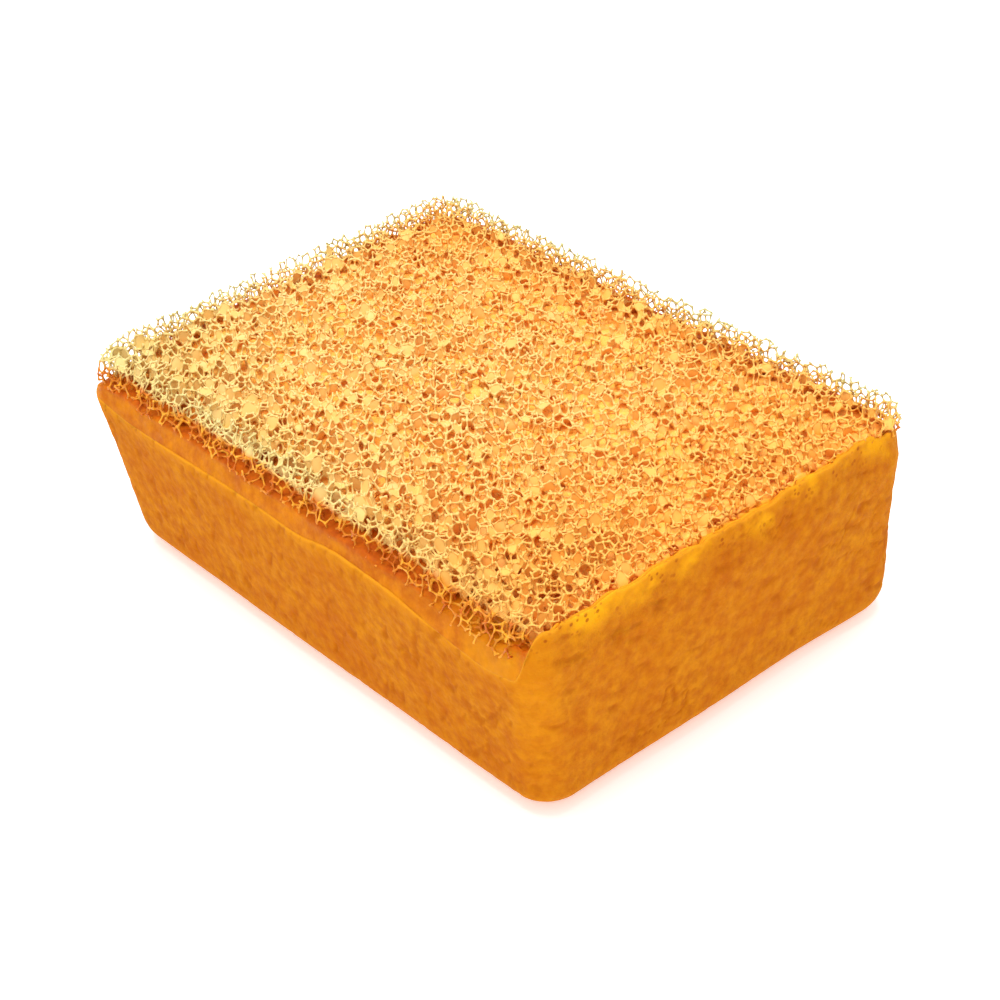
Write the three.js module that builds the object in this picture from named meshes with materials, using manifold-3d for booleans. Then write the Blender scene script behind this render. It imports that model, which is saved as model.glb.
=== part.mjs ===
// Grout sponge with a scrub pad: a moulded block of fine hydrophilic foam, with an open-cell
// scrubbing pad set into its upper face while the foam was rising in the mould.
// Units are millimetres. +X runs along the long side, +Y across the block and +Z up.
// The origin is in the middle of the footprint, on the surface that the block stands on.

import * as THREE from 'three';
import { mergeVertices } from 'three/addons/utils/BufferGeometryUtils.js';
import Module from 'manifold-3d';

// ---- Driving dimensions ------------------------------------------------------------------

// The moulded block
const LENGTH = 184; // along X, at the lip
const WIDTH = 130; // along Y, at the lip
const LIP_HEIGHT = 47; // from the base up to the lip around the pad
const DRAFT = 5.5; // how far each side leans in between the lip and the base
const CORNER_RADIUS = 9; // upright corners
const BASE_ROUND = 8.5; // rounding between the sides and the base

// The end wall: skin that has risen beside the pad at the +X end
const END_WALL = 3.5; // thickness
const END_WALL_DROP = 2; // how far its top stays below the pad's scrubbing face
const END_WALL_ROUND = 1.2; // soft upper edge

// The pad, and the foam that has risen into its lower cells
const BOND_HEIGHT = 6; // depth of pad that the foam fills
const PAD_HEIGHT = 8; // depth of pad that stays open
const FRONT_LEDGE = 2.5; // step in from the lip along the -Y side
const REAR_LEDGE = 1; // the same along the +Y side
const START_LEDGE = 1; // the same along the -X side
const PAD_CORNER = 8; // corner radius of the pad in plan
const PAD_SHRINK = 0.8; // how much smaller the pad's top edge is than its foot, each side
const PAD_ROUND = 1.5; // rounding of the pad's upper edge
const WALL_GAP = 0.3; // clearance between the end wall and what stands beside it

// Facets
const CORNER_STEPS = 10; // straight pieces in each rounded corner
const ROUND_STEPS = 8; // rings in each rounded edge

// ---- Levels, all worked out from the sizes above -------------------------------------------

// Levels are kept in single precision, as mesh vertices are, so that faces at one level meet.
const lipZ = Math.fround(LIP_HEIGHT);
const bondTopZ = Math.fround(lipZ + BOND_HEIGHT);
const padTopZ = Math.fround(bondTopZ + PAD_HEIGHT);
const endWallTopZ = padTopZ - END_WALL_DROP;

// The pocket that the pad and its filled cells sit in: open to -X, -Y and +Y.
const pocket = {
  minX: -LENGTH / 2 + START_LEDGE,
  maxX: LENGTH / 2 - END_WALL,
  minY: -WIDTH / 2 + FRONT_LEDGE,
  maxY: WIDTH / 2 - REAR_LEDGE,
};

// ---- Shape helpers -------------------------------------------------------------------------

// The points of a rounded rectangle, anticlockwise as seen from above.
function roundedRectangle({ minX, maxX, minY, maxY }, radius) {
  const r = Math.min(radius, (maxX - minX) / 2.01, (maxY - minY) / 2.01);
  const centres = [
    [maxX - r, maxY - r],
    [minX + r, maxY - r],
    [minX + r, minY + r],
    [maxX - r, minY + r],
  ];
  const points = [];
  centres.forEach(([x, y], quarter) => {
    for (let step = 0; step <= CORNER_STEPS; step += 1) {
      const angle = (quarter + step / CORNER_STEPS) * (Math.PI / 2);
      points.push([x + r * Math.cos(angle), y + r * Math.sin(angle)]);
    }
  });
  return points;
}

// The same box with each side moved in by a distance.
function shrink({ minX, maxX, minY, maxY }, by) {
  return { minX: minX + by, maxX: maxX - by, minY: minY + by, maxY: maxY - by };
}

// A closed solid through a stack of rounded rectangles, lowest first.
// Each ring is { outline, z }, and all outlines have the same number of points.
function loft(rings) {
  const count = rings[0].outline.length;
  const positions = [];
  const indices = [];
  for (const { outline, z } of rings) {
    for (const [x, y] of outline) positions.push(x, y, z);
  }
  for (let ring = 0; ring < rings.length - 1; ring += 1) {
    for (let i = 0; i < count; i += 1) {
      const a = ring * count + i;
      const b = ring * count + ((i + 1) % count);
      indices.push(a, b, b + count);
      indices.push(a, b + count, a + count);
    }
  }
  const last = (rings.length - 1) * count;
  for (let i = 1; i < count - 1; i += 1) {
    indices.push(0, i + 1, i);
    indices.push(last, last + i, last + i + 1);
  }
  const geometry = new THREE.BufferGeometry();
  geometry.setAttribute('position', new THREE.Float32BufferAttribute(positions, 3));
  geometry.setIndex(indices);
  return geometry;
}

// Rings that turn a rounded edge. The side ends at `z`, and the edge turns in above it (up = 1)
// or below it (up = -1). Rings run away from the side.
function roundedEdge(box, radius, z, round, up) {
  const rings = [];
  for (let step = 0; step <= ROUND_STEPS; step += 1) {
    const angle = (step / ROUND_STEPS) * (Math.PI / 2);
    const inset = round * (1 - Math.cos(angle));
    rings.push({
      outline: roundedRectangle(shrink(box, inset), radius),
      z: z + up * round * Math.sin(angle),
    });
  }
  return rings;
}

function asManifold(wasm, geometry) {
  const welded = geometry.clone();
  welded.deleteAttribute('normal');
  welded.deleteAttribute('uv');
  const merged = mergeVertices(welded);
  return new wasm.Manifold(
    new wasm.Mesh({
      numProp: 3,
      vertProperties: new Float32Array(merged.attributes.position.array),
      triVerts: new Uint32Array(merged.index.array),
    }),
  );
}

function asGeometry(solid) {
  const mesh = solid.getMesh();
  const geometry = new THREE.BufferGeometry();
  geometry.setAttribute('position', new THREE.BufferAttribute(mesh.vertProperties, 3));
  geometry.setIndex(new THREE.BufferAttribute(mesh.triVerts, 1));
  return geometry;
}

// ---- The pieces ----------------------------------------------------------------------------

// The foam block: base, drafted sides and a flat seat for the pad, with the end wall left
// standing at +X. It is lofted to the top of the end wall, and the pocket is then cut away.
function spongeBody(wasm) {
  const lipBox = { minX: -LENGTH / 2, maxX: LENGTH / 2, minY: -WIDTH / 2, maxY: WIDTH / 2 };
  const leanAt = (z) => DRAFT * (1 - z / lipZ);
  const base = shrink(lipBox, leanAt(BASE_ROUND));
  const block = loft([
    ...roundedEdge(base, CORNER_RADIUS, BASE_ROUND, BASE_ROUND, -1).reverse(),
    { outline: roundedRectangle(lipBox, CORNER_RADIUS), z: lipZ },
    ...roundedEdge(lipBox, CORNER_RADIUS, endWallTopZ - END_WALL_ROUND, END_WALL_ROUND, 1),
  ]);
  const cutter = new THREE.BoxGeometry(2 * LENGTH, 2 * WIDTH, padTopZ);
  cutter.translate(pocket.maxX - LENGTH, 0, lipZ + padTopZ / 2);
  return asGeometry(asManifold(wasm, block).subtract(asManifold(wasm, cutter)));
}

// The pad's lower cells, filled with the block's foam. Its foot is at z = 0.
function bondLayer() {
  const foot = { ...pocket, maxX: pocket.maxX - WALL_GAP };
  return loft([
    { outline: roundedRectangle(foot, PAD_CORNER), z: 0 },
    { outline: roundedRectangle(foot, PAD_CORNER), z: bondTopZ - lipZ },
  ]);
}

// The open-cell part of the pad, narrowing a little to a softly rounded upper edge.
// Its foot is at z = 0.
function scrubPad() {
  const foot = { ...pocket, maxX: pocket.maxX - WALL_GAP };
  const height = padTopZ - bondTopZ;
  return loft([
    { outline: roundedRectangle(foot, PAD_CORNER), z: 0 },
    ...roundedEdge(shrink(foot, PAD_SHRINK), PAD_CORNER, height - PAD_ROUND, PAD_ROUND, 1),
  ]);
}

// ---- The assembly --------------------------------------------------------------------------

const foamFinish = new THREE.MeshStandardMaterial({ color: 0xe08a1e, roughness: 0.75, metalness: 0 });
const soakedFinish = new THREE.MeshStandardMaterial({ color: 0xc8641f, roughness: 0.65, metalness: 0 });
const padFinish = new THREE.MeshStandardMaterial({ color: 0xf0cd86, roughness: 0.6, metalness: 0 });

function piece(name, geometry, material, z) {
  const faceted = geometry.index ? geometry.toNonIndexed() : geometry;
  faceted.computeVertexNormals();
  const mesh = new THREE.Mesh(faceted, material);
  mesh.name = name;
  mesh.position.z = z;
  return mesh;
}

const wasm = await Module();
wasm.setup();

const groutSponge = new THREE.Group();
groutSponge.add(piece('sponge_body', spongeBody(wasm), foamFinish, 0));
groutSponge.add(piece('bond_layer', bondLayer(), soakedFinish, lipZ));
groutSponge.add(piece('scrub_pad', scrubPad(), padFinish, bondTopZ));

export default groutSponge;
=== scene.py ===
"""Looks for a moulded grout sponge with an open-cell scrub pad set into its upper face.

Lengths are in millimetres until a mesh is made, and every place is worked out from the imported
frame. +X runs along the long side, -Y is the long side that faces the camera, +Z is up.
"""

import itertools
import math

import bpy
import numpy as np
from mathutils import Matrix, Vector, kdtree


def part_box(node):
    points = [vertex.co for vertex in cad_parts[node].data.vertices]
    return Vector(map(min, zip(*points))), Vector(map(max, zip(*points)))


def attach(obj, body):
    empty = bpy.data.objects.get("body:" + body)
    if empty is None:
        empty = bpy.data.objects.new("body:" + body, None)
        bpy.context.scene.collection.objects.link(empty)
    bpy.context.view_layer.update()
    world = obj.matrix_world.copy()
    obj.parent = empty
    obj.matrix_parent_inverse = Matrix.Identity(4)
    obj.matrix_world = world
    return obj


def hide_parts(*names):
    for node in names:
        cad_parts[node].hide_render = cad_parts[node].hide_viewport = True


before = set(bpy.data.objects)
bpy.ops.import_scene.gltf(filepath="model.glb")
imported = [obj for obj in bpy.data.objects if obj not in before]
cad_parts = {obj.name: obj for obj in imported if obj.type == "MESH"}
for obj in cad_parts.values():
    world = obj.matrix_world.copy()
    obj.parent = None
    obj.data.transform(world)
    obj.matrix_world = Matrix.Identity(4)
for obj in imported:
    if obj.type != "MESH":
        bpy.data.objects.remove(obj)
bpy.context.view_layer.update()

MM = 0.001


def box_mm(node):
    low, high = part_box(node)
    return np.array(low) / MM, np.array(high) / MM


BODY_LOW, BODY_HIGH = box_mm("sponge_body")
LIP_Z = box_mm("bond_layer")[0][2]  # the lip that the pad is set into
PAD_TOP = box_mm("scrub_pad")[1][2]  # the scrubbing face
HALF_X, HALF_Y = BODY_HIGH[0], BODY_HIGH[1]

# The moulded block. The first three values are the CAD's own.
DRAFT = 5.5  # how far the sides lean in between the lip and the base
CORNER = 9.0  # upright corners
BASE_ROUND = 8.5  # rounding between the sides and the base
LIP_ROUND = 0.45  # rounding of the lip's outer edge
SEAT_DEPTH = 2.0  # how far below the lip the pad's foot is hidden
END_DROP = 2.1  # how far the skin at the +X end stays below the scrubbing face
FAR_DROP = 3.0  # how much lower that skin is at its far corner

# The pad as it looks: it reaches from rim to rim, and its front side leans in from the lip
RIM = 0.7  # width of the skin's bare edge round the pad
PAD_LOW = np.array([-HALF_X + RIM, -HALF_Y + RIM])
PAD_HIGH = np.array([HALF_X - RIM - 0.5, HALF_Y - RIM])
PAD_CORNER = 8.0
FRONT_LEAN = 0.27  # how far the front side leans in for each millimetre of height
BAND = 5.8  # height of the smooth band of filled cells above the front lip
FILL_DEPTH = 4.3  # from the scrubbing face down to the foam that fills the lower cells
OPEN_DROP = 3.5  # how much lower that foam is at the -X and +Y sides
OPEN_REACH = 5.0  # how far in from those sides it stays low
FAR_PULL = 2.7  # how far it is drawn in at the corner between the +X and +Y sides

# The cells of the open foam
CELL = 3.8  # distance across a cell, away from the front side
FRONT_CELL = 1.2  # how much larger it is at the front
FRONT_REACH = 9.0  # how far back the larger cells go on
TALL = 1.3  # how much taller than wide a cell is
APART = 0.72  # least distance between the centres of two cells, as a share of CELL
THROWS = 24  # how many centres are thrown in for each cell's volume
EVEN_GAP = 1.28  # centres push each other away up to this many least distances
PUSH = 0.28  # share of the distance that they lack, made up in one round
MARGIN = 1.3 * CELL  # how far cells go on past the pad

# Its strands, and the films that close some windows between cells
STRAND_MIDDLE = 0.25  # from a strand's axis to its ridges, half way along
STRAND_END = 0.37  # the same where four strands meet
COATING = 0.15  # how much thicker a strand is where foam coats it
EDGE_THINNING = 0.32  # how much thinner it is at the pad's sides
FILM = 0.04  # half the thickness of a film
OPEN_WINDOWS = 0.62  # share of the large windows that no film closes
FILM_SIDES = (3, 11)  # distance from an open side: no films up to the first, all past the second
FILM_SIZES = (0.35, 1.0)  # radius of a window: always closed at the first, large at the second
FILM_TOP = (2.2, 1.1)  # depth below the scrubbing face: fewer films from the first, none at the next

# The camera, as the picture's perspective asks
TURN, RISE, ROLL = 51.9, 33.9, -5.0  # degrees round the upright axis, up, and round the view
DISTANCE = 597
AIM_HEIGHT, AIM_RIGHT, AIM_UP = 25, 2.6, -2.1
LENS, SENSOR = 80.8, 36

# The light. Places and sizes are in metres.
SKY = 0.78
KEY_PLACE, KEY_POWER = (-0.08, 0.0, 1.3), 14
FILL_PLACE, FILL_POWER = (0.9, -0.9, 0.9), 5
LIGHT_SIZE = 0.9
CELL_BOUNCES = 10  # how often light may bounce, so that the depths of the cells glow
FLOOR_SIDE = 4.0  # from the middle of the floor to its edges
FLOOR_GLOW = 0.3

rng = np.random.default_rng(20)


# ---- Noise ----


class Noise:
    """Smooth random numbers from -1 to 1 that depend only on the place and the seed."""

    SIZE = 4096

    def __init__(self, seed):
        own = np.random.default_rng(seed)
        self.order = own.permutation(self.SIZE)
        self.values = own.uniform(-1, 1, self.SIZE)

    def pick(self, cells):
        last = self.SIZE - 1
        key = self.order[cells[..., 0] & last]
        key = self.order[(key + cells[..., 1]) & last]
        return self.order[(key + cells[..., 2]) & last]

    def smooth(self, points, size):
        """One number for each point. Features are about `size` across: one number or x, y, z."""
        scaled = points / np.asarray(size, float)
        cell = np.floor(scaled).astype(int)
        part = scaled - cell
        part = part * part * (3 - 2 * part)
        total = np.zeros(len(points))
        for corner in itertools.product((0, 1), repeat=3):
            weight = np.prod(np.where(corner, part, 1 - part), axis=1)
            total += weight * self.values[self.pick(cell + np.array(corner))]
        return total

    def rough(self, points, size, octaves=3):
        """Several sizes of smooth noise together."""
        total, weight = np.zeros(len(points)), 1.0
        for _ in range(octaves):
            total += weight * self.smooth(points, size)
            size = np.asarray(size, float) / 2.1
            weight *= 0.55
        return total

    def bubbles(self, points, size):
        """Distance to the nearest of scattered centres, about 0 at a centre and 1 between."""
        scaled = points / size
        cell = np.floor(scaled).astype(int)
        best = np.full(len(points), 9.0)
        for step in itertools.product((-1, 0, 1), repeat=3):
            near = cell + np.array(step)
            key = self.pick(near)
            offset = np.stack([self.values[(key + k * 97) % self.SIZE] for k in (1, 2, 3)], 1)
            centre = near + 0.5 + 0.42 * offset
            best = np.minimum(best, ((scaled - centre) ** 2).sum(1))
        return np.sqrt(best)


def ease(value, low, high):
    """0 below low, 1 above high, and a smooth step between."""
    t = np.clip((value - low) / (high - low), 0, 1)
    return t * t * (3 - 2 * t)


def fade(distance, reach):
    """1 at no distance or less, and falling away over about the reach."""
    return np.exp(-np.maximum(distance, 0) / reach)


# ---- Meshes ----


def make_object(name, points, triangles):
    """A smooth mesh object from points in millimetres and triangles."""
    mesh = bpy.data.meshes.new(name)
    mesh.vertices.add(len(points))
    mesh.vertices.foreach_set("co", (points * MM).astype(np.float32).ravel())
    mesh.loops.add(triangles.size)
    mesh.loops.foreach_set("vertex_index", triangles.astype(np.int32).ravel())
    mesh.polygons.add(len(triangles))
    mesh.polygons.foreach_set("loop_start", np.arange(0, triangles.size, 3, dtype=np.int32))
    mesh.polygons.foreach_set("use_smooth", np.full(len(triangles), True))
    mesh.update(calc_edges=True)
    mesh.validate()
    obj = bpy.data.objects.new(name, mesh)
    bpy.context.scene.collection.objects.link(obj)
    return obj


def add_values(obj, name, values):
    """One named number for each vertex, which a material can read. The points that shut a loft's
    ends have no value of their own, and get 0."""
    rest = np.zeros(len(obj.data.vertices) - len(values))
    layer = obj.data.attributes.new(name, "FLOAT", "POINT")
    layer.data.foreach_set("value", np.concatenate([values, rest]).astype(np.float32))


def vertex_normals(points, quads):
    """Which way the surface faces at each point of a loft."""
    across = np.cross(points[quads[:, 2]] - points[quads[:, 0]], points[quads[:, 3]] - points[quads[:, 1]])
    total = np.zeros_like(points)
    for k in range(4):
        for axis in range(3):
            total[:, axis] += np.bincount(quads[:, k], across[:, axis], len(points))
    return total / np.maximum(np.linalg.norm(total, axis=1, keepdims=True), 1e-12)


# ---- Rings round a rounded rectangle ----


class RingPlan:
    """Makes rings round a rounded rectangle. Their points match, whatever the inset and radius."""

    def __init__(self, low, high, radius, step):
        self.centre, self.half, self.radius = (low + high) / 2, (high - low) / 2, radius
        along_x, along_y = (max(4, round((2 * half - 2 * radius) / step)) for half in self.half)
        arc = max(4, round(radius * math.pi / 2 / step))
        corner_x, corner_y, angle = [], [], []
        signs = ((1, 1), (-1, 1), (-1, -1), (1, -1))
        for quarter, (sx, sy) in enumerate(signs):
            nx, ny = signs[(quarter + 1) % 4]
            turn = (np.arange(arc) / arc + quarter) * math.pi / 2
            angle.append(turn)
            corner_x.append(np.full(arc, sx))
            corner_y.append(np.full(arc, sy))
            count = along_x if sx != nx else along_y
            share = np.arange(count) / count
            angle.append(np.full(count, (quarter + 1) * math.pi / 2))
            corner_x.append(sx + (nx - sx) * share)
            corner_y.append(sy + (ny - sy) * share)
        self.corner_x, self.corner_y = np.concatenate(corner_x), np.concatenate(corner_y)
        angle = np.concatenate(angle)
        self.out_x, self.out_y = np.cos(angle), np.sin(angle)
        self.count = len(angle)

    def ring(self, inset, z, radius=None):
        """Ring points. inset and z are one number or one for each point."""
        radius = radius or self.radius
        x = self.centre[0] + self.corner_x * (self.half[0] - inset - radius) + self.out_x * radius
        y = self.centre[1] + self.corner_y * (self.half[1] - inset - radius) + self.out_y * radius
        return np.stack([x, y, np.broadcast_to(z, x.shape)], 1)


def loft(rings):
    """Points and quads of a skin through rings, which go anticlockwise, and outwards, up and in."""
    count = len(rings[0])
    points = np.concatenate(rings)
    at = np.arange(count)
    after = (at + 1) % count
    quads = [
        np.stack([k * count + at, k * count + after, (k + 1) * count + after, (k + 1) * count + at], 1)
        for k in range(len(rings) - 1)
    ]
    return points, np.concatenate(quads)


def closed_object(name, points, quads, count):
    """A closed mesh object from a loft, with its first and last rings shut round their centres.
    Its bake map is the loft laid flat, cut into two rows so that both directions share fairly."""
    at = np.arange(count)
    last = len(points) - count
    centres = [points[:count].mean(0), points[last:].mean(0)]
    lower, upper = np.full(count, len(points)), np.full(count, len(points) + 1)
    triangles = np.concatenate(
        [quads[:, [0, 1, 2]], quads[:, [0, 2, 3]], np.column_stack([(at + 1) % count, at, lower]),
         np.column_stack([last + at, last + (at + 1) % count, upper])]
    )
    obj = make_object(name, np.concatenate([points, centres]), triangles)

    rings = points.reshape(-1, count, 3)
    along = np.concatenate([[0], np.linalg.norm(np.diff(rings, axis=0), axis=2).mean(1).cumsum()])
    up = 0.01 + 0.44 * along / along[-1]
    column = np.tile(at, len(rings) - 1)
    level = np.repeat(np.arange(len(rings) - 1), count)
    corners = np.concatenate(
        [np.stack([column, column + 1, column + 1], 1), np.stack([column, column + 1, column], 1),
         np.stack([at + 1, at, at], 1), np.stack([at, at + 1, at], 1)]
    )
    heights = np.concatenate(
        [up[np.stack([level, level, level + 1], 1)], up[np.stack([level, level + 1, level + 1], 1)],
         np.tile([up[0], up[0], up[0] - 0.004], (count, 1)),
         np.tile([up[-1], up[-1], up[-1] + 0.004], (count, 1))]
    )
    per_row = math.ceil(count / 2)
    row = corners.min(1)[:, None] // per_row
    add_bake_map(obj, 0.01 + 0.98 * (corners - row * per_row) / per_row, heights + 0.5 * row)
    return obj


def add_bake_map(obj, across, upward):
    """The object's bake map, from the place of each corner of each triangle."""
    layer = obj.data.uv_layers.new(name="OFBake")
    layer.data.foreach_set("uv", np.stack([across, upward], -1).astype(np.float32).ravel())


# ---- The lip, and the foam that fills the pad's lower cells ----

fill_noise = Noise(7)
edge_noise = Noise(11)

# The lip along the front: place as a share of the half length, and height above the seat
LIP_WAVE = (
    (-0.95, 2.3), (-0.8, -0.2), (-0.56, -0.3), (-0.3, 0.5), (-0.1, 0.4), (0.06, -0.4),
    (0.2, 2.4), (0.46, 1.3), (0.58, -0.7), (0.72, -2.5), (0.84, -3.4), (0.93, -1.0),
)


def front_lip(x):
    """How far the lip at the front is above the seat."""
    along, lift = zip(*LIP_WAVE)
    return np.interp(x / HALF_X, along, lift)


def far_corner(ring):
    """1 at the corner between the +X and +Y sides, which is drawn in a little."""
    return ease(ring[:, 0], HALF_X - 17, HALF_X - 9) * ease(ring[:, 1], HALF_Y - 40, HALF_Y - 5)


def wall_top(y):
    """How high the skin stands at the +X end: uneven, and lower towards the far corner."""
    spot = np.stack([np.full_like(y, HALF_X), y, np.zeros_like(y)], 1)
    ragged = 0.9 * edge_noise.smooth(spot, 19) + 0.8 * edge_noise.smooth(spot, 6.5)
    ragged += 0.4 * edge_noise.smooth(spot, 2.3)
    return PAD_TOP - END_DROP + ragged - FAR_DROP * ease(y, HALF_Y - 20, HALF_Y - 3)


def fill_height(x, y):
    """Top of the foam inside the pad. It climbs at the end wall and falls away at the other three
    sides, at the front to the upper edge of the band."""
    spot = np.stack([x, y, np.zeros_like(x)], 1)
    height = PAD_TOP - FILL_DEPTH + 0.8 * fill_noise.smooth(spot, 14) + 0.5 * fill_noise.smooth(spot, 5)
    from_front = np.maximum(y - PAD_LOW[1], 0)
    front = LIP_Z + BAND + np.minimum(0, front_lip(x)) + 0.5 * fill_noise.smooth(spot, 9)
    front += 0.15 * np.maximum(from_front - 5, 0)
    height = np.minimum(height, np.maximum(front, LIP_Z + 3))
    height = height - OPEN_DROP * fade(x - PAD_LOW[0], OPEN_REACH)
    height = height - OPEN_DROP * fade(PAD_HIGH[1] - y, OPEN_REACH)
    height = height + (wall_top(y) - 0.5 - height) * fade(PAD_HIGH[0] - x, 1.6)
    return np.clip(height, LIP_Z + 1.0, PAD_TOP - 1.0)


def from_open_sides(points):
    """How far each point is inside the pad's three open sides."""
    return np.minimum((points[:, :2] - PAD_LOW).min(1), PAD_HIGH[1] - points[:, 1])


def front_share(y):
    """1 along the front side of the pad, and 0 from 9 mm behind it."""
    return ease(-y, -PAD_LOW[1] - 9, -PAD_LOW[1] - 4)


def soaked(points):
    """How much foam has coated the strands at each point: 1 where it covers them."""
    x, y, z = points.T
    level = fill_height(x, y) + 0.4
    from_front = y - PAD_LOW[1]
    level = np.maximum(level, LIP_Z + 13.0 - 1.6 * np.maximum(from_front - 2.0, 0))
    level += 1.6 * fade(PAD_HIGH[0] - x, 3.0)
    level += 0.9 * edge_noise.smooth(points, 6) + 0.8 * edge_noise.smooth(points, 15)
    return 1 - ease(z, level - 1.2, level + 1.2)


# ---- Open-cell foam ----

# The six pairs of a node's four cells, and for the strand opposite each cell the three pairs
# that lie round it. A pair of cells shares one window, whose rim the strands make.
PAIRS = list(itertools.combinations(range(4), 2))
OPPOSITE = [[k for k in range(4) if k != cell] for cell in range(4)]
ROUND_STRAND = np.array(
    [[PAIRS.index((p, q)), PAIRS.index((q, r)), PAIRS.index((p, r))] for p, q, r in OPPOSITE]
)
STRANDS_OF_PAIR = [[k for k in range(4) if k not in pair] for pair in PAIRS]
PAIRS_OF_CELL = np.array([[k for k, pair in enumerate(PAIRS) if cell in pair] for cell in range(4)])


def cell_spacing(points):
    """Least distance from a cell centre at each point to the next one."""
    return APART * CELL * (1 + (FRONT_CELL - 1) * fade(points[:, 1] - PAD_LOW[1], FRONT_REACH))


def neighbours(points, count):
    """For each point, the numbers of the nearest others, and the tree that finds them."""
    tree = kdtree.KDTree(len(points))
    for index, point in enumerate(points):
        tree.insert(point, index)
    tree.balance()
    near = np.array([[hit[1] for hit in tree.find_n(point, count + 1)[1:]] for point in points])
    return near, tree


def cell_centres(low, high):
    """Cell centres thrown in at random, none too close to another, then pushed evenly apart."""
    size = high - low
    tries = low + size * rng.random((int(THROWS * np.prod(size) / CELL ** 3), 3))
    apart = cell_spacing(tries)
    boxes = np.floor((tries - low) / apart.max()).astype(int).tolist()
    steps = list(itertools.product((-1, 0, 1), repeat=3))
    taken = {}
    for (x, y, z), (i, j, k), limit in zip(tries.tolist(), boxes, (apart ** 2).tolist()):
        close = (
            (x - p) ** 2 + (y - q) ** 2 + (z - r) ** 2 < limit
            for a, b, c in steps for p, q, r in taken.get((i + a, j + b, k + c), ())
        )
        if not any(close):
            taken.setdefault((i, j, k), []).append((x, y, z))
    points = np.array([point for box in taken.values() for point in box])
    for _ in range(4):
        near, _ = neighbours(points, 11)
        gap = points[:, None] - points[near]
        distance = np.linalg.norm(gap, axis=2)
        want = EVEN_GAP * cell_spacing(points)[:, None]
        push = PUSH * np.maximum(0, want - distance) / distance
        points += np.clip((gap * push[..., None]).sum(1), -0.6, 0.6)
    return points


def foam_nodes(centres):
    """The places where four cells meet: (positions, the four cells of each)."""
    nearest = 30
    near, tree = neighbours(centres, nearest)
    combos = np.array(list(itertools.combinations(range(nearest), 3)))
    i, j, k = combos.T
    far = 2.5 * cell_spacing(centres)
    places, groups = [], []
    for start in range(0, len(centres), 400):
        own = np.arange(start, min(start + 400, len(centres)))
        spots = centres[near[own]]
        apart = np.linalg.norm(spots[:, :, None] - spots[:, None], axis=3)
        beside = (apart < far[own][:, None, None]) & (near[own] > own[:, None])[:, :, None]
        beside &= beside.transpose(0, 2, 1)
        row, col = np.nonzero(beside[:, i, j] & beside[:, j, k] & beside[:, i, k])
        first, others = own[row], near[own[row, None], combos[col]]
        base = centres[first]
        a, b, c = (centres[others[:, k]] - base for k in range(3))
        bc, ca, ab = np.cross(b, c), np.cross(c, a), np.cross(a, b)
        volume = 2 * (a * bc).sum(1)
        volume[np.abs(volume) < 1e-6] = 1e-6
        squares = [(v * v).sum(1)[:, None] for v in (a, b, c)]
        offset = (squares[0] * bc + squares[1] * ca + squares[2] * ab) / volume[:, None]
        radius = (offset * offset).sum(1)
        small = radius < (1.2 * CELL * FRONT_CELL) ** 2
        first, others, offset, radius = first[small], others[small], offset[small], radius[small]
        place = centres[first] + offset
        gap = ((centres[near[first]] - place[:, None]) ** 2).sum(-1).min(1)
        empty = gap > radius * (1 - 1e-7)
        places.append(place[empty])
        groups.append(np.sort(np.column_stack([first[empty], others[empty]]), axis=1))
    places, groups = np.concatenate(places), np.concatenate(groups)
    # a true node has none of the other cells closer than its own four
    own_reach = np.linalg.norm(centres[groups[:, 0]] - places, axis=1)
    closest = np.array([tree.find(place)[2] for place in places])
    true = closest > own_reach - 1e-4
    return places[true], groups[true]


def foam_strands(groups, total):
    """Pairs of nodes that share three cells: (node, its side), (node, its side)."""
    count = len(groups)
    faces = np.concatenate([groups[:, sides] for sides in OPPOSITE])
    key = (faces[:, 0].astype(np.int64) * total + faces[:, 1]) * total + faces[:, 2]
    order = np.argsort(key, kind="stable")
    same = np.nonzero(key[order][1:] == key[order][:-1])[0]
    one, two = order[same], order[same + 1]
    return one % count, one // count, two % count, two // count


def strands_at(one, two, count):
    """How many of the strands from node one to node two end at each node."""
    return np.bincount(one, minlength=count) + np.bincount(two, minlength=count)


def relax(places, one, two, rounds=5, strength=0.4):
    """Moves each node towards the middle of its neighbours, which evens out the strands."""
    count = len(places)
    number = strands_at(one, two, count)
    for _ in range(rounds):
        middle = np.zeros_like(places)
        for axis in range(3):
            middle[:, axis] = np.bincount(one, places[two, axis], count)
            middle[:, axis] += np.bincount(two, places[one, axis], count)
        middle /= np.maximum(number, 1)[:, None]
        full = number == 4
        places[full] += strength * (middle[full] - places[full])
    return places


def joined_to(rooted, one, two):
    """Marks every node that strands join to a rooted node."""
    reached, count = rooted, len(rooted)
    while True:
        touched = np.bincount(one, reached[two], count) + np.bincount(two, reached[one], count)
        spread = reached | (touched > 0)
        if spread.sum() == reached.sum():
            return reached
        reached = spread


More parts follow.
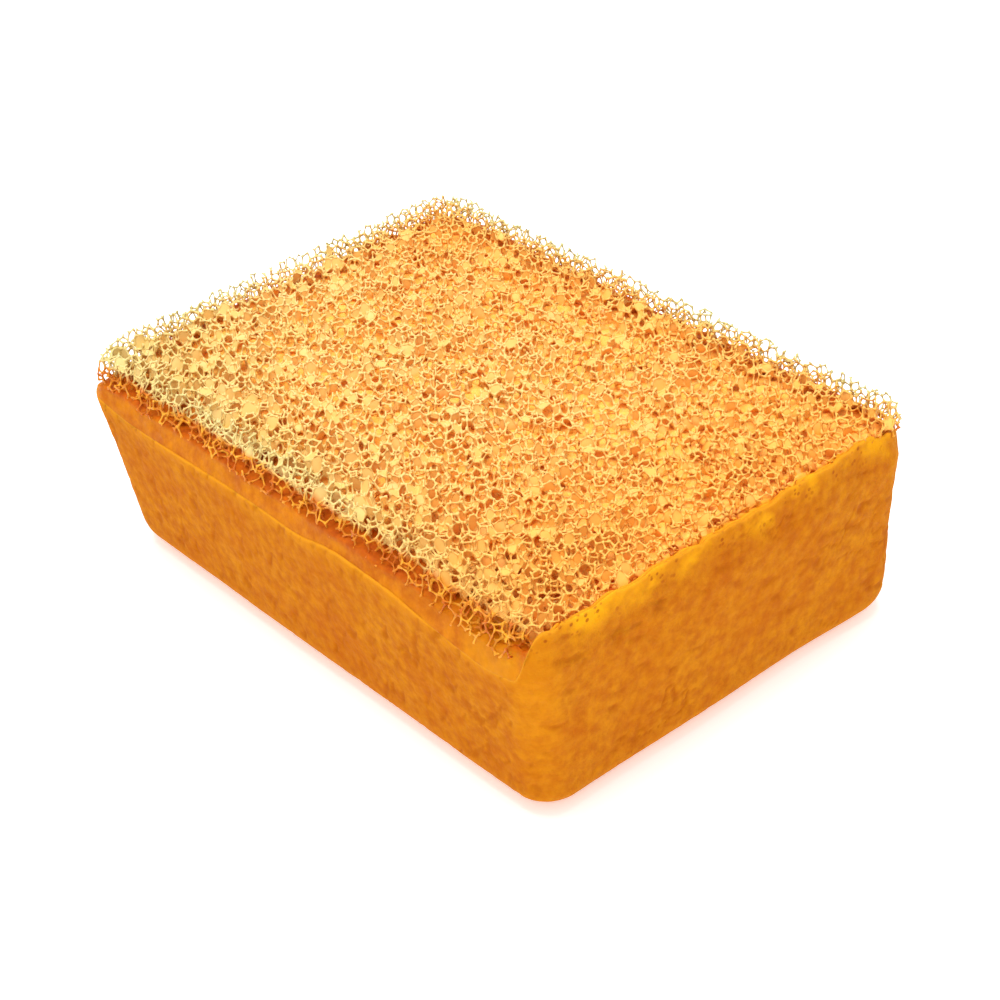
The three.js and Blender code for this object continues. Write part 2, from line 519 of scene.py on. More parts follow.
def window_films(places, groups, centres, kept):
    """Points and triangles of the thin films that close many of the windows between cells.
    A film has two sheets, and its rim is hidden inside the strands."""
    total = len(centres)
    pairs = np.array(PAIRS)
    key = (groups[:, pairs[:, 0]].astype(np.int64) * total + groups[:, pairs[:, 1]]).ravel()
    owner = np.repeat(np.arange(len(groups)), 6)
    windows, at = np.unique(key, return_inverse=True)
    corners = np.bincount(at)
    whole = (np.bincount(at, kept[owner]) == corners) & (corners > 2)
    middle = np.stack([np.bincount(at, places[owner, k]) for k in range(3)], 1) / corners[:, None]
    size = np.bincount(at, np.linalg.norm(places[owner] - middle[at], axis=1)) / corners
    axis = centres[windows % total] - centres[windows // total]
    axis /= np.linalg.norm(axis, axis=1, keepdims=True)
    within = ease(from_open_sides(middle), *FILM_SIDES)
    stays_open = 1 - within + within * OPEN_WINDOWS * ease(size, *FILM_SIZES)
    near_top = ease(middle[:, 2], PAD_TOP - FILM_TOP[0], PAD_TOP - FILM_TOP[1])
    stays_open = np.maximum(stays_open, near_top)
    closed = whole & (rng.random(len(windows)) > stays_open)

    side = np.cross(axis, (0.3, 0.5, 0.8))
    side /= np.linalg.norm(side, axis=1, keepdims=True)
    other = np.cross(axis, side)
    spoke = places[owner] - middle[at]
    turn = np.arctan2((spoke * other[at]).sum(1), (spoke * side[at]).sum(1))
    order = np.lexsort((turn, at))
    order = order[closed[at[order]]]
    window = at[order]
    rim = places[owner[order]]
    count = len(order)
    first = np.searchsorted(window, window)
    step = np.arange(count)
    following = np.where(step + 1 < first + corners[window], step + 1, first)
    names, hub = np.unique(window, return_inverse=True)
    lift = FILM * axis
    points = np.concatenate(
        [rim + lift[window], middle[names] + lift[names], rim - lift[window], middle[names] - lift[names]]
    )
    under = count + len(names)
    triangles = np.concatenate(
        [np.stack([step, following, count + hub], 1),
         np.stack([under + following, under + step, under + count + hub], 1)]
    )
    return points, triangles


def foam_network(inside, low, high):
    """The cells, nodes and strands of open foam between two corners, and the nodes that are kept:
    where inside(points) is above 0, without loose ends, and joined to the foam below."""
    squash = np.array([1, 1, 1 / TALL])
    centres = cell_centres((low - MARGIN) * squash, (high + MARGIN) * squash)
    places, groups = foam_nodes(centres)
    strands = foam_strands(groups, len(centres))
    one, _, two, _ = strands
    places = relax(places, one, two) / squash
    depth = inside(places)
    count = len(places)
    kept = (depth > 0) & (strands_at(one, two, count) == 4)
    below = places[:, 2] < fill_height(places[:, 0], places[:, 1]) + 1
    for _ in range(3):  # a node at the end of a single strand goes, so that the edges end in loops
        whole = kept[one] & kept[two]
        kept &= below | (strands_at(one[whole], two[whole], count) > 1)
    whole = kept[one] & kept[two]
    kept &= joined_to(kept & below, one[whole], two[whole])
    return centres / squash, places, groups, strands, kept, depth


def strand_thickness(places):
    """How thick the strands are at each place, as a share of their usual thickness."""
    from_side = np.minimum(places[:, :2] - PAD_LOW, PAD_HIGH - places[:, :2]).min(1)
    thick = 1 + COATING * soaked(places) + 0.12 * edge_noise.smooth(places, 9)
    return thick * (1 - EDGE_THINNING * fade(from_side, 4.0))


class StrandMesh:
    """The mesh of a network's strands. Each node has six points, one towards each window beside
    it, and each strand has three more: round its waist, or round its end where it is cut off."""

    def __init__(self, centres, places, groups, strands, kept):
        self.centres, self.places, self.groups = centres, places, groups
        one, side_one, two, side_two = strands
        self.reach = np.zeros((len(places), 4, 3))
        self.reach[one, side_one] = places[two] - places[one]
        self.reach[two, side_two] = places[one] - places[two]
        length = np.linalg.norm(self.reach, axis=2)
        self.heading = self.reach / np.maximum(length, 1e-9)[..., None]
        self.thick = strand_thickness(places)
        shortest = np.where(length > 0, length, 9).min(1)
        self.spread = np.minimum(STRAND_END * 1.3 * self.thick, 0.42 * shortest)
        self.rims = np.zeros((len(places), 6, 3))
        for pair, (i, j) in enumerate(STRANDS_OF_PAIR):
            way = self.heading[:, i] + self.heading[:, j]
            way /= np.maximum(np.linalg.norm(way, axis=1, keepdims=True), 1e-6)
            self.rims[:, pair] = places + way * self.spread[:, None]
        self.first_point = np.full(len(places), -1)
        self.first_point[kept] = np.arange(kept.sum()) * 6
        self.points, self.triangles, self.total = [], [], 0
        hubs = self.add_points(self.rims[kept].reshape(-1, 3)).reshape(-1, 6)
        # one small triangle towards each of the node's four cells
        for cell in range(4):
            corners = hubs[:, PAIRS_OF_CELL[cell]]
            a, b, c = (self.points[0][corners[:, k]] for k in range(3))
            towards = centres[groups[kept, cell]] - places[kept]
            wrong = (np.cross(b - a, c - a) * towards).sum(1) < 0
            corners[wrong] = corners[wrong][:, ::-1]
            self.triangles.append(corners)

    def add_points(self, points):
        """Adds points, and gives their numbers."""
        numbers = self.total + np.arange(len(points))
        self.points.append(points)
        self.total += len(points)
        return numbers

    def tube(self, first, second, flip):
        """Three strips between two triangular rings, given as arrays of three point numbers."""
        for k in range(3):
            n = (k + 1) % 3
            strip = np.concatenate(
                [np.stack([first[:, k], first[:, n], second[:, n]], 1),
                 np.stack([first[:, k], second[:, n], second[:, k]], 1)]
            )
            turned = np.concatenate([flip, flip])
            strip[turned] = strip[turned][:, ::-1]
            self.triangles.append(strip)

    def ring_of(self, node, side):
        """The three of a node's own points that lie round the strand on one side of it."""
        return self.first_point[node][:, None] + ROUND_STRAND[side]

    def handed(self, node, other, side):
        """True where the ring's order runs clockwise along the strand."""
        cells = np.take_along_axis(self.groups[node], np.array(OPPOSITE)[side], axis=1)
        p, q, r = (self.centres[cells[:, k]] for k in range(3))
        return (np.cross(q - p, r - p) * (self.places[other] - self.places[node])).sum(1) < 0

    def ring_at(self, share, node, side, other, other_side, radius):
        """A thin ring part of the way along a strand, with ridges towards its three windows."""
        middle = self.places[node] + share[:, None] * self.reach[node, side]
        axis = self.heading[node, side]
        spokes = []
        for k in range(3):
            way = self.rims[node, ROUND_STRAND[side][:, k]]
            way = way + self.rims[other, ROUND_STRAND[other_side][:, k]]
            way = way / 2 - (self.places[node] + self.places[other]) / 2
            way -= (way * axis).sum(1)[:, None] * axis
            way /= np.maximum(np.linalg.norm(way, axis=1, keepdims=True), 1e-6)
            spokes.append(middle + way * radius[:, None])
        return self.add_points(np.stack(spokes, 1).reshape(-1, 3)).reshape(-1, 3)

    def whole_strands(self, a, side_a, b, side_b):
        """Strands from nodes a to nodes b, thin in the middle."""
        flip = self.handed(a, b, side_a)
        half = np.full(len(a), 0.5)
        vary = np.clip(1 + 0.15 * rng.standard_normal(len(a)), 0.7, 1.4)
        thin = np.minimum(STRAND_MIDDLE * self.thick[a] * vary, self.spread[a])
        waist = self.ring_at(half, a, side_a, b, side_b, thin)
        self.tube(self.ring_of(a, side_a), waist, flip)
        self.tube(waist, self.ring_of(b, side_b), flip)

    def cut_strands(self, a, side_a, b, side_b, share):
        """Strands that start at nodes a and are cut off part of the way to nodes b."""
        flip = self.handed(a, b, side_a)
        tip = self.ring_at(share, a, side_a, b, side_b, np.full(len(a), STRAND_MIDDLE * 0.95))
        self.tube(self.ring_of(a, side_a), tip, flip)
        tip[flip] = tip[flip][:, ::-1]
        self.triangles.append(tip)


def open_foam(inside, low, high):
    """Points and triangles of a network of strands and films, and how many of the points belong
    to strands. inside(points) is above 0 where the foam is."""
    centres, places, groups, strands, kept, depth = foam_network(inside, low, high)
    one, side_one, two, side_two = strands
    mesh = StrandMesh(centres, places, groups, strands, kept)
    whole = kept[one] & kept[two]
    mesh.whole_strands(one[whole], side_one[whole], two[whole], side_two[whole])

    cut = kept[one] != kept[two]
    turned = kept[two[cut]]
    a, b = np.where(turned, two[cut], one[cut]), np.where(turned, one[cut], two[cut])
    side_a = np.where(turned, side_two[cut], side_one[cut])
    side_b = np.where(turned, side_one[cut], side_two[cut])
    drop = depth[a] / np.maximum(depth[a] - np.minimum(depth[b], -1e-3), 1e-3)
    mesh.cut_strands(a, side_a, b, side_b, np.clip(0.6 * drop, 0.16, 0.45))

    strand_points = mesh.total
    film_points, film_triangles = window_films(places, groups, centres, kept)
    mesh.triangles.append(film_triangles + strand_points)
    mesh.add_points(film_points)
    return np.concatenate(mesh.points), np.concatenate(mesh.triangles), strand_points


# ---- The pieces ----

skin_noise = Noise(3)
dent_noise = Noise(5)


def lip_heights(ring):
    """How high the skin reaches at each point of a ring, and how far the point belongs to the +X
    end, where the skin has climbed almost to the scrubbing face."""
    x, y = ring[:, 0], ring[:, 1]
    front = front_lip(x)
    front = np.convolve(np.concatenate([front[-9:], front, front[:9]]), np.ones(19) / 19, "valid")
    other = 1.2 * edge_noise.smooth(ring, 22) + 0.4 * edge_noise.smooth(ring, 7)
    on_front = ease(-y, HALF_Y - 8, HALF_Y - 2)
    low = LIP_Z + other * (1 - on_front) + front * on_front
    high = wall_top(y)
    at_end = ease(x, HALF_X - 6.5, HALF_X - 0.8)
    return low + (high - low) * at_end, at_end


def body_rings(plan):
    """Rings of the block's skin, from the middle of the base up the sides and over the lip to the
    hidden seat, and the lip's height at each point of a ring."""
    outline = plan.ring(0, LIP_Z)
    lip, at_end = lip_heights(outline)
    wall = RIM + 0.4 * at_end
    seat = LIP_Z - SEAT_DEPTH
    far = far_corner(outline)

    def lean(z):
        """How far the side is inside the outline. The far corner leans in more than the rest."""
        pulled = 0.09 * np.maximum(0, z - LIP_Z) + 1.4 * ease(z, 12, LIP_Z) - 1.2 * (1 - ease(z, 8, 30))
        return DRAFT * np.maximum(0, 1 - z / LIP_Z) + pulled * far

    foot = plan.ring(lean(BASE_ROUND) + BASE_ROUND, 0)
    rings = [foot * (share, share, 1) for share in (0.02, 0.2, 0.4, 0.6, 0.75, 0.87, 0.95)]
    for turn in np.linspace(0, math.pi / 2, 14):
        inset = lean(BASE_ROUND) + BASE_ROUND * (1 - math.sin(turn))
        rings.append(plan.ring(inset, BASE_ROUND * (1 - math.cos(turn))))
    for share in np.linspace(0, 1, 68)[1:]:
        z = BASE_ROUND + share * (lip - LIP_ROUND - BASE_ROUND)
        rings.append(plan.ring(lean(z), z))
    top = lean(lip - LIP_ROUND)
    for turn in np.linspace(0, math.pi / 2, 5)[1:]:
        z = lip - LIP_ROUND + LIP_ROUND * math.sin(turn)
        rings.append(plan.ring(top + LIP_ROUND * (1 - math.cos(turn)), z))
    for share in (0.5, 1.0):
        rings.append(plan.ring(top + LIP_ROUND + share * (wall - LIP_ROUND), lip - 0.25 * share))
    for share in np.linspace(0, 1, 14)[1:]:
        z = lip - 0.25 + share * (seat - lip + 0.25)
        rings.append(plan.ring(top + wall + 0.3 * share, z))
    inner = rings[-1]
    rings += [inner * (share, share, 1) for share in (0.9, 0.6, 0.3, 0.02)]
    return rings, lip


def skin_relief(points, normals):
    """How far each point of the skin stands out, and how much it is in a dent or a fold. Dents
    are short and upright on the long sides, and lie flat on the ends."""
    swell = 0.5 * skin_noise.smooth(points, 38) + 0.25 * skin_noise.smooth(points, 15)
    facing_end = ease(np.abs(normals[:, 0]) - np.abs(normals[:, 1]), -0.4, 0.4)
    slanted = points @ np.array([[1, 0, 0.45], [0, 1, 0], [-0.45, 0, 1]])
    upright = dent_noise.rough(slanted, (2.1, 2.1, 5.5), 2)
    tilted = points @ np.array([[1, 0, 0], [0, 1, 0.3], [0, -0.3, 1]])
    lying = dent_noise.rough(tilted, (6.5, 6.5, 2.2), 2)
    dents = ease(upright, 0.35, 1.0) * (1 - facing_end) + ease(lying, 0.35, 1.0) * facing_end
    folds = ease(1 - np.abs(skin_noise.rough(tilted, (11, 11, 7), 3)) * 8, 0.0, 1.0)
    folds *= ease(skin_noise.smooth(points + 50, 17), -0.2, 0.5) * (0.35 + 0.65 * facing_end)
    grain = 0.07 * skin_noise.smooth(points, 1.5) + 0.07 * skin_noise.smooth(points, 3.1)
    return swell - 0.32 * dents - 0.3 * folds + grain, np.clip(0.8 * dents + folds, 0, 1)


def sponge_body():
    plan = RingPlan(BODY_LOW[:2], BODY_HIGH[:2], CORNER, 0.6)
    rings, lip = body_rings(plan)
    points, quads = loft(rings)
    normals = vertex_normals(points, quads)
    above_lip = points[:, 2] - np.tile(lip, len(rings))
    relief, dented = skin_relief(points, normals)
    # nothing moves on the base, and nothing on the hidden seat
    side = ease(points[:, 2], 0.4, 7) * ease(np.abs(normals[:, :2]).max(1), 0.2, 0.5)
    top_of_end = ease(above_lip, -9, -1) * ease(points[:, 0], HALF_X - 4, HALF_X - 1)
    calm = 1 - 0.7 * top_of_end
    points = points + normals * (side * calm * relief)[:, None]
    obj = closed_object("sponge_body_skin", points, quads, plan.count)
    # painted shade: the dents and folds on the sides are coloured darker and redder, as shade in them would
    # make them
    outer = side * ease(np.abs(points[:, 0]) / HALF_X + np.abs(points[:, 1]) / HALF_Y, 0.9, 1.0)
    add_values(obj, "dent", dented * outer)
    # painted glow: the skin is coloured yellower within 5 mm below the lip, at the upright corners and near
    # the base, standing in for light that shines through the thin foam at its edges
    ends = ease(np.abs(points[:, 0]), HALF_X - 14, HALF_X) * ease(np.abs(points[:, 1]), HALF_Y - 14, HALF_Y)
    near_base = 1 - ease(points[:, 2], 2, 9)
    add_values(obj, "edge", np.maximum(ease(above_lip, -5, 0), np.maximum(ends, near_base)))
    # painted highlight: a thin lighter line just below the lip's edge
    add_values(obj, "rim", ease(above_lip, -0.7, -0.25))
    add_values(obj, "top_of_end", top_of_end)
    return obj


def bond_rings(plan):
    """Rings of the foam that fills the pad's lower cells: a hidden foot, the sides, a rounded
    shoulder, and the uneven upper surface under the open cells."""
    outline = plan.ring(0, LIP_Z)
    front = front_share(outline[:, 1])
    at_end = ease(outline[:, 0], PAD_HIGH[0] - 5, PAD_HIGH[0] - 1)
    far = far_corner(outline)
    rim = fill_height(outline[:, 0], outline[:, 1])
    start = lip_heights(outline)[0] * front + (LIP_Z - 1) * (1 - front)
    start = start * (1 - at_end) + (LIP_Z + 3) * at_end
    foot_z = start - 1.5
    roll = 1.3 - 1.0 * at_end

    def inset(z):
        above = np.maximum(0, z - start)
        tucked = 0.8 * (1 - ease(z, start - 1.3, start - 0.1))
        lean = (front * FRONT_LEAN + 0.1) * above * (1 - at_end)
        return tucked - 0.3 * (1 - at_end) + lean + FAR_PULL * far

    foot = plan.ring(0, LIP_Z - SEAT_DEPTH)
    rings = [foot * (share, share, 1) for share in (0.02, 0.5, 0.9)]
    for share in np.linspace(0, 1, 26):
        z = foot_z + share * (rim - roll - foot_z)
        rings.append(plan.ring(inset(z), z))
    shoulder = inset(rim - roll)
    for turn in np.linspace(0, math.pi / 2, 6)[1:]:
        z = rim - roll + roll * math.sin(turn)
        rings.append(plan.ring(shoulder + roll * (1 - math.cos(turn)), z))
    edge = shoulder + roll
    for share in np.linspace(0, 1, 95)[1:]:
        ring = plan.ring(edge + share * (plan.half[1] - 0.5 - edge), 0, 0.2 + 7.8 * (1 - share))
        ring[:, 2] = fill_height(ring[:, 0], ring[:, 1])
        rings.append(ring)
    return rings


def bond_layer():
    plan = RingPlan(PAD_LOW, PAD_HIGH, PAD_CORNER, 0.65)
    points, quads = loft(bond_rings(plan))
    normals = vertex_normals(points, quads)
    above = points[:, 2] - LIP_Z
    lumps = 0.9 - fill_noise.bubbles(points, CELL * 0.9)
    move = 0.5 * lumps * ease(above, BAND - 2, BAND + 1)
    move += 0.16 * skin_noise.rough(points, 3.2, 3) * ease(above, 0, 2)
    points = points + normals * move[:, None]
    obj = closed_object("bond_layer_foam", points, quads, plan.count)
    # partly the foam's own cream tone and partly painted light: the fill inside the pad is coloured lighter
    # than at its sides, which lifts the shade in the cells
    add_values(obj, "within", ease(from_open_sides(points), 7, 15))
    add_values(obj, "near_end", ease(points[:, 0], PAD_HIGH[0] - 4, PAD_HIGH[0] - 1))
    # painted shade: the top of the band, where it runs in under the front strands, is coloured darker and
    # redder
    add_values(obj, "shoulder", ease(above, BAND - 2.0, BAND))
    return obj


def pad_inside(points):
    """Above 0 inside the open part of the pad: a rounded block with uneven sides, down to the
    foam that fills it."""
    x, y, z = points.T
    middle = (PAD_LOW + PAD_HIGH) / 2
    half = (PAD_HIGH - PAD_LOW) / 2
    sway = 0.45 * edge_noise.smooth(points * (1, 1, 0.4), 11) + 0.35 * edge_noise.smooth(points, 4)
    near_top = np.maximum(0, z - (PAD_TOP - 3.0))
    front = front_share(y)
    lean = front * (0.17 * np.maximum(0, z - LIP_Z) - 0.6)
    shrink = 0.07 * near_top ** 2 + sway * (1 - 0.6 * front) + lean
    over_x = np.abs(x - middle[0]) - (half[0] - PAD_CORNER)
    over_y = np.abs(y - middle[1]) - (half[1] - PAD_CORNER)
    corner = np.hypot(np.maximum(over_x, 0), np.maximum(over_y, 0))
    side = np.where((over_x > 0) | (over_y > 0), PAD_CORNER - shrink - corner, PAD_CORNER)
    open_side = np.minimum(x - PAD_LOW[0], PAD_HIGH[1] - y)
    lift = 0.9 * fade(open_side, 6.0)
    top = PAD_TOP - 0.3 + lift + 0.4 * edge_noise.smooth(points * (1, 1, 0), 14) - z
    hidden = fill_height(x, y) - 1.0
    hidden = hidden * (1 - front) + (LIP_Z + BAND - 1.2 + np.minimum(0, front_lip(x))) * front
    return np.minimum(np.minimum(side, top), z - hidden)


def scrub_pad():
    low = np.array([*PAD_LOW - 1, LIP_Z + 1])
    high = np.array([*PAD_HIGH + 1, PAD_TOP + 1])
    points, triangles, strand_points = open_foam(pad_inside, low, high)
    obj = make_object("scrub_pad_strands", points, triangles)
    # seen from above, in four levels, so that faces over each other do not share a place
    corners = points[triangles]
    level = np.clip((PAD_TOP - corners[:, :, 2].mean(1)) / 2.4, 0, 3.99).astype(int)
    plan = 0.02 + 0.46 * (corners[:, :, :2] - low[:2]) / (high[0] - low[0])
    add_bake_map(obj, plan[..., 0] + 0.5 * (level % 2)[:, None], plan[..., 1] + 0.5 * (level // 2)[:, None])
    add_values(obj, "soak", soaked(points))
    # painted light: deeper strands and films are coloured lighter, and shallow films darker, which evens out
    # the shade that falls deeper in the pad
    add_values(obj, "deep", ease(PAD_TOP - points[:, 2], 0.5, 5.0))
    from_end, from_front = (points[:, :2] - PAD_LOW).T
    open_side = np.minimum(from_end, PAD_HIGH[1] - points[:, 1])
    # painted light: away from the open sides and the front edge the strands are tinted orange, standing in
    # for orange light bounced up from the foam below; at the sides they keep their own pale colour
    pale = 1 - ease(open_side + 2 * edge_noise.smooth(points, 12), 0, 6)
    pale = np.maximum(pale, 0.75 * fade(np.hypot(from_end, from_front), 30))
    along_front = np.exp(-(((from_front - 6) / 4.5) ** 2)) * (1 - ease(from_end, 60, 190))
    pale = np.maximum(pale, 0.8 * along_front * (0.75 + 0.25 * edge_noise.smooth(points, 9)))
    add_values(obj, "bounce_warm", 1 - pale)
    add_values(obj, "film", np.arange(len(points)) >= strand_points)
    toward_end, toward_rear = ease(points[:, :2], 0, PAD_HIGH).T
    add_values(obj, "toward_end", np.maximum(toward_end, 0.8 * toward_rear))
    return obj


# ---- Materials ----


def srgb(red, green, blue):
    """A linear colour from 0 to 255 screen values."""
    def one(value):
        value /= 255
        return value / 12.92 if value <= 0.04045 else ((value + 0.055) / 1.055) ** 2.4
    return (one(red), one(green), one(blue), 1.0)


class Graph:
    """A material's nodes, made and joined in short calls."""

    def __init__(self, name):
        self.material = bpy.data.materials.new(name)
        self.material.use_nodes = True
        self.nodes = self.material.node_tree.nodes
        self.links = self.material.node_tree.links
        self.shader = self.nodes["Principled BSDF"]
        self.place = self.node("ShaderNodeTexCoord").outputs["Object"]

    def node(self, kind, inputs=None, **settings):
        made = self.nodes.new(kind)
        for key, value in settings.items():
            setattr(made, key, value)
        for key, value in (inputs or {}).items():
            self.put(made.inputs[key], value)
        return made

    def put(self, socket, value):
        if isinstance(value, bpy.types.NodeSocket):
            self.links.new(value, socket)
        else:
            socket.default_value = value

    def noise(self, scale, detail=3.0, rough=0.55):
        inputs = {"Vector": self.place, "Scale": scale, "Detail": detail, "Roughness": rough}
        return self.node("ShaderNodeTexNoise", inputs).outputs["Fac"]

    def band(self, value, low, high, to_low=0.0, to_high=1.0):
        """The value, with the range from low to high spread over another range."""
        inputs = {"Value": value, "From Min": low, "From Max": high, "To Min": to_low, "To Max": to_high}
        return self.node("ShaderNodeMapRange", inputs).outputs["Result"]

    def mix(self, share, first, second):
        """The first colour where share is 0, and the second where it is 1."""
        made = self.node("ShaderNodeMix", data_type="RGBA")
        self.put(made.inputs[0], share)
        self.put(made.inputs[6], first)
        self.put(made.inputs[7], second)
        return made.outputs[2]

    def times(self, first, second):
        made = self.node("ShaderNodeMath", operation="MULTIPLY")
        self.put(made.inputs[0], first)
        self.put(made.inputs[1], second)
        return made.outputs[0]

    def bump(self, height, distance, strength=1.0, under=None):
        made = self.node("ShaderNodeBump", {"Height": height, "Distance": distance, "Strength": strength})
        if under:
            self.put(made.inputs["Normal"], under)
        return made.outputs["Normal"]

    def value(self, name):
        """One of the mesh's own named numbers."""
        return self.node("ShaderNodeAttribute", attribute_name=name).outputs["Fac"]

    def pores(self, scale, inner, outer):
        """1 in small round holes, and 0 between them."""
        made = self.node("ShaderNodeTexVoronoi", {"Vector": self.place, "Scale": scale})
        return self.band(made.outputs["Distance"], inner, outer, 1.0, 0.0)

    def finish(self, colour, roughness, normal, soft=0.0, reach=(1, 1, 1), scale=0.001, shine=0.5):
        """The material. Light goes into it as far as reach times scale, where soft is above 0."""
        self.put(self.shader.inputs["Base Color"], colour)
        self.put(self.shader.inputs["Roughness"], roughness)
        self.put(self.shader.inputs["Normal"], normal)
        self.put(self.shader.inputs["Subsurface Weight"], soft)
        self.put(self.shader.inputs["Subsurface Radius"], reach)
        self.put(self.shader.inputs["Subsurface Scale"], scale)
        self.put(self.shader.inputs["Specular IOR Level"], shine)
        return self.material


def foam_skin():
    look = Graph("hydrophilic_foam_skin")
    mottle = look.band(look.noise(330, 4, 0.6), 0.34, 0.68)
    colour = look.mix(mottle, srgb(177, 97, 12), srgb(202, 127, 16))
    broad = look.band(look.noise(45, 3), 0.35, 0.65)
    colour = look.mix(look.times(broad, 0.4), colour, srgb(178, 86, 3))
    # painted glow: yellower near the lip, at the upright corners and near the base
    colour = look.mix(look.times(look.value("edge"), 0.6), colour, srgb(212, 134, 12))
    # painted shade in the dents and folds
    colour = look.mix(look.times(look.value("dent"), 0.6), colour, srgb(160, 76, 0))
    patches = look.times(look.value("top_of_end"), look.band(look.noise(75, 3), 0.48, 0.6))
    colour = look.mix(patches, colour, srgb(232, 160, 14))
    # painted shade: small holes near the top of the +X end are coloured dark brown, standing in for the
    # shade inside them; they are also bumped in
    holes = look.pores(520, 0.2, 0.34)
    pits = look.times(holes, look.times(look.value("top_of_end"), look.band(look.noise(110, 2), 0.45, 0.55)))
    colour = look.mix(look.times(pits, 0.8), colour, srgb(150, 62, 8))
    # painted highlight along the lip
    colour = look.mix(look.times(look.value("rim"), 0.4), colour, srgb(228, 158, 40))
    rough = look.band(look.noise(300, 2), 0.3, 0.7, 0.72, 0.9)
    fine = look.bump(look.noise(1100, 3, 0.6), 0.0002, 0.5)
    normal = look.bump(look.noise(420, 4, 0.6), 0.0008, 0.8, fine)
    normal = look.bump(pits, 0.0006, -1.0, normal)
    return look.finish(colour, rough, normal, 0.15, (1.0, 0.5, 0.15), 0.0015, shine=0.05)


def soaked_foam():
    look = Graph("soaked_foam_rough")
    mottle = look.band(look.noise(260, 4, 0.65), 0.35, 0.68)
    band = look.mix(mottle, srgb(182, 94, 3), srgb(208, 124, 5))
    # painted shade: a darker, redder colour for the top of the band under the front strands
    shoulder = look.mix(mottle, srgb(168, 74, 5), srgb(200, 100, 8))
    # partly own cream tone, partly painted light that lifts the shade deep in the cells
    inner = look.mix(mottle, srgb(242, 168, 66), srgb(251, 198, 100))
    stretched = look.times(look.band(look.noise(42, 2), 0.53, 0.68), 0.3)
    band = look.mix(stretched, band, srgb(232, 164, 16))
    colour = look.mix(look.value("shoulder"), band, shoulder)
    colour = look.mix(look.value("within"), colour, inner)
    colour = look.mix(look.value("near_end"), colour, srgb(226, 146, 22))
    rough = look.band(look.noise(400, 2), 0.3, 0.7, 0.5, 0.75)
    normal = look.bump(look.noise(700, 4, 0.65), 0.0004, 0.5)
    return look.finish(colour, rough, normal, 0.3, (1.0, 0.4, 0.1), 0.002, shine=0.1)


def pad_strands():
    look = Graph("open_cell_strands")
    tint = look.band(look.noise(90, 3), 0.35, 0.65)
    edge = look.mix(tint, srgb(212, 203, 134), srgb(226, 216, 150))
    # painted light: lower strands and deep films are lighter, shallow films darker, to even out the shade
    # with depth
    upper = look.mix(tint, srgb(246, 203, 118), srgb(249, 210, 132))
    lower = look.mix(tint, srgb(249, 208, 120), srgb(251, 214, 130))
    bounce_warm = look.mix(look.value("deep"), upper, lower)
    film = look.mix(look.value("deep"), srgb(242, 185, 98), srgb(247, 202, 118))
    bounce_warm = look.mix(look.times(look.value("film"), 0.85), bounce_warm, film)
    bounce_warm = look.mix(look.times(look.value("toward_end"), 0.7), bounce_warm, srgb(246, 180, 68))
    # painted orange bounce light, strongest away from the open sides
    colour = look.mix(look.value("bounce_warm"), edge, bounce_warm)
    coat = look.mix(look.band(look.noise(210, 3), 0.4, 0.6), srgb(206, 106, 20), srgb(240, 168, 46))
    colour = look.mix(look.value("soak"), colour, coat)
    rough = look.band(look.noise(500, 2), 0.3, 0.7, 0.36, 0.52)
    normal = look.bump(look.noise(1500, 2), 0.0001, 0.3)
    return look.finish(colour, rough, normal, shine=0.3)


# ---- Camera, light and floor ----


def camera():
    """The scene's camera: turned about the upright axis, raised, and rolled about its view."""
    turn, rise, roll = (math.radians(angle) for angle in (TURN, RISE, ROLL))
    back = Vector((math.sin(turn) * math.cos(rise), -math.cos(turn) * math.cos(rise), math.sin(rise)))
    right = Vector((0, 0, 1)).cross(back).normalized()
    up = back.cross(right)
    cos, sin = math.cos(roll), math.sin(roll)
    right, up = cos * right + sin * up, cos * up - sin * right
    aim = Vector((0, 0, AIM_HEIGHT * MM)) + AIM_RIGHT * MM * right + AIM_UP * MM * up
    data = bpy.data.cameras.new("camera")
    data.lens, data.sensor_width = LENS, SENSOR
    data.clip_start, data.clip_end = 0.01, 20
    obj = bpy.data.objects.new("camera", data)
    matrix = Matrix((right, up, back)).transposed().to_4x4()
    matrix.translation = aim + back * (DISTANCE * MM)
    obj.matrix_world = matrix
    bpy.context.scene.collection.objects.link(obj)
    bpy.context.scene.camera = obj


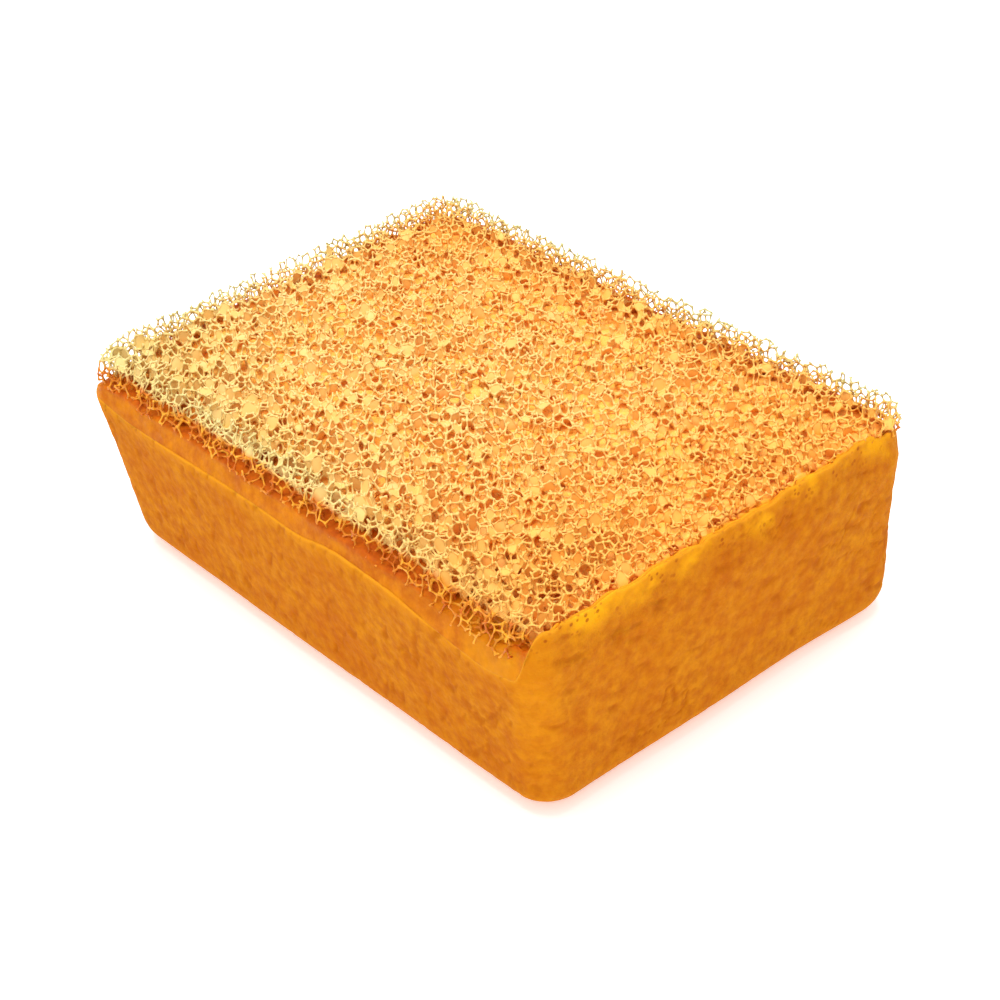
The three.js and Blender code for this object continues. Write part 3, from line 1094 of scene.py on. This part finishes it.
def light(name, place, power):
    """A round, soft lamp that points at the middle of the floor."""
    data = bpy.data.lights.new(name, "AREA")
    data.shape, data.size, data.energy = "DISK", LIGHT_SIZE, power
    obj = bpy.data.objects.new(name, data)
    obj.location = place
    obj.rotation_euler = (-Vector(place)).to_track_quat("-Z", "Y").to_euler()
    bpy.context.scene.collection.objects.link(obj)


def studio():
    world = bpy.data.worlds.new("studio")
    world.use_nodes = True
    sky = world.node_tree.nodes["Background"]
    sky.inputs["Color"].default_value = (1, 1, 1, 1)
    sky.inputs["Strength"].default_value = SKY
    bpy.context.scene.world = world
    light("key", KEY_PLACE, KEY_POWER)
    light("fill", FILL_PLACE, FILL_POWER)
    bpy.context.scene.view_settings.view_transform = "Standard"
    bpy.context.scene.cycles.diffuse_bounces = CELL_BOUNCES

    mesh = bpy.data.meshes.new("floor")
    corners = [(x * FLOOR_SIDE, y * FLOOR_SIDE, 0) for x, y in ((-1, -1), (1, -1), (1, 1), (-1, 1))]
    mesh.from_pydata(corners, [], [(0, 1, 2, 3)])
    floor = bpy.data.objects.new("floor", mesh)
    bpy.context.scene.collection.objects.link(floor)
    look = Graph("floor_paper")
    tone = look.mix(look.band(look.noise(40, 2), 0.3, 0.7), (0.95, 0.95, 0.95, 1), (0.97, 0.97, 0.97, 1))
    look.finish(tone, 0.9, look.bump(look.noise(400, 2), 0.0001, 0.1))
    # it glows a little, as a light table does, and so its shadows stay pale
    look.put(look.shader.inputs["Emission Color"], (1, 1, 1, 1))
    look.put(look.shader.inputs["Emission Strength"], FLOOR_GLOW)
    mesh.materials.append(look.material)


# ---- Putting it together ----

camera()
studio()

PIECES = (
    (sponge_body, foam_skin, "sponge_body", "hydrophilic_foam", 1.0),
    (bond_layer, soaked_foam, "bond_layer", "soaked_foam", 1.0),
    (scrub_pad, pad_strands, "scrub_pad", "open_cell_foam", 1.0),
)
for shape, finish, node, slot, fill in PIECES:
    piece = shape()
    piece.data.materials.append(finish())
    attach(piece, "root")
    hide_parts(node)
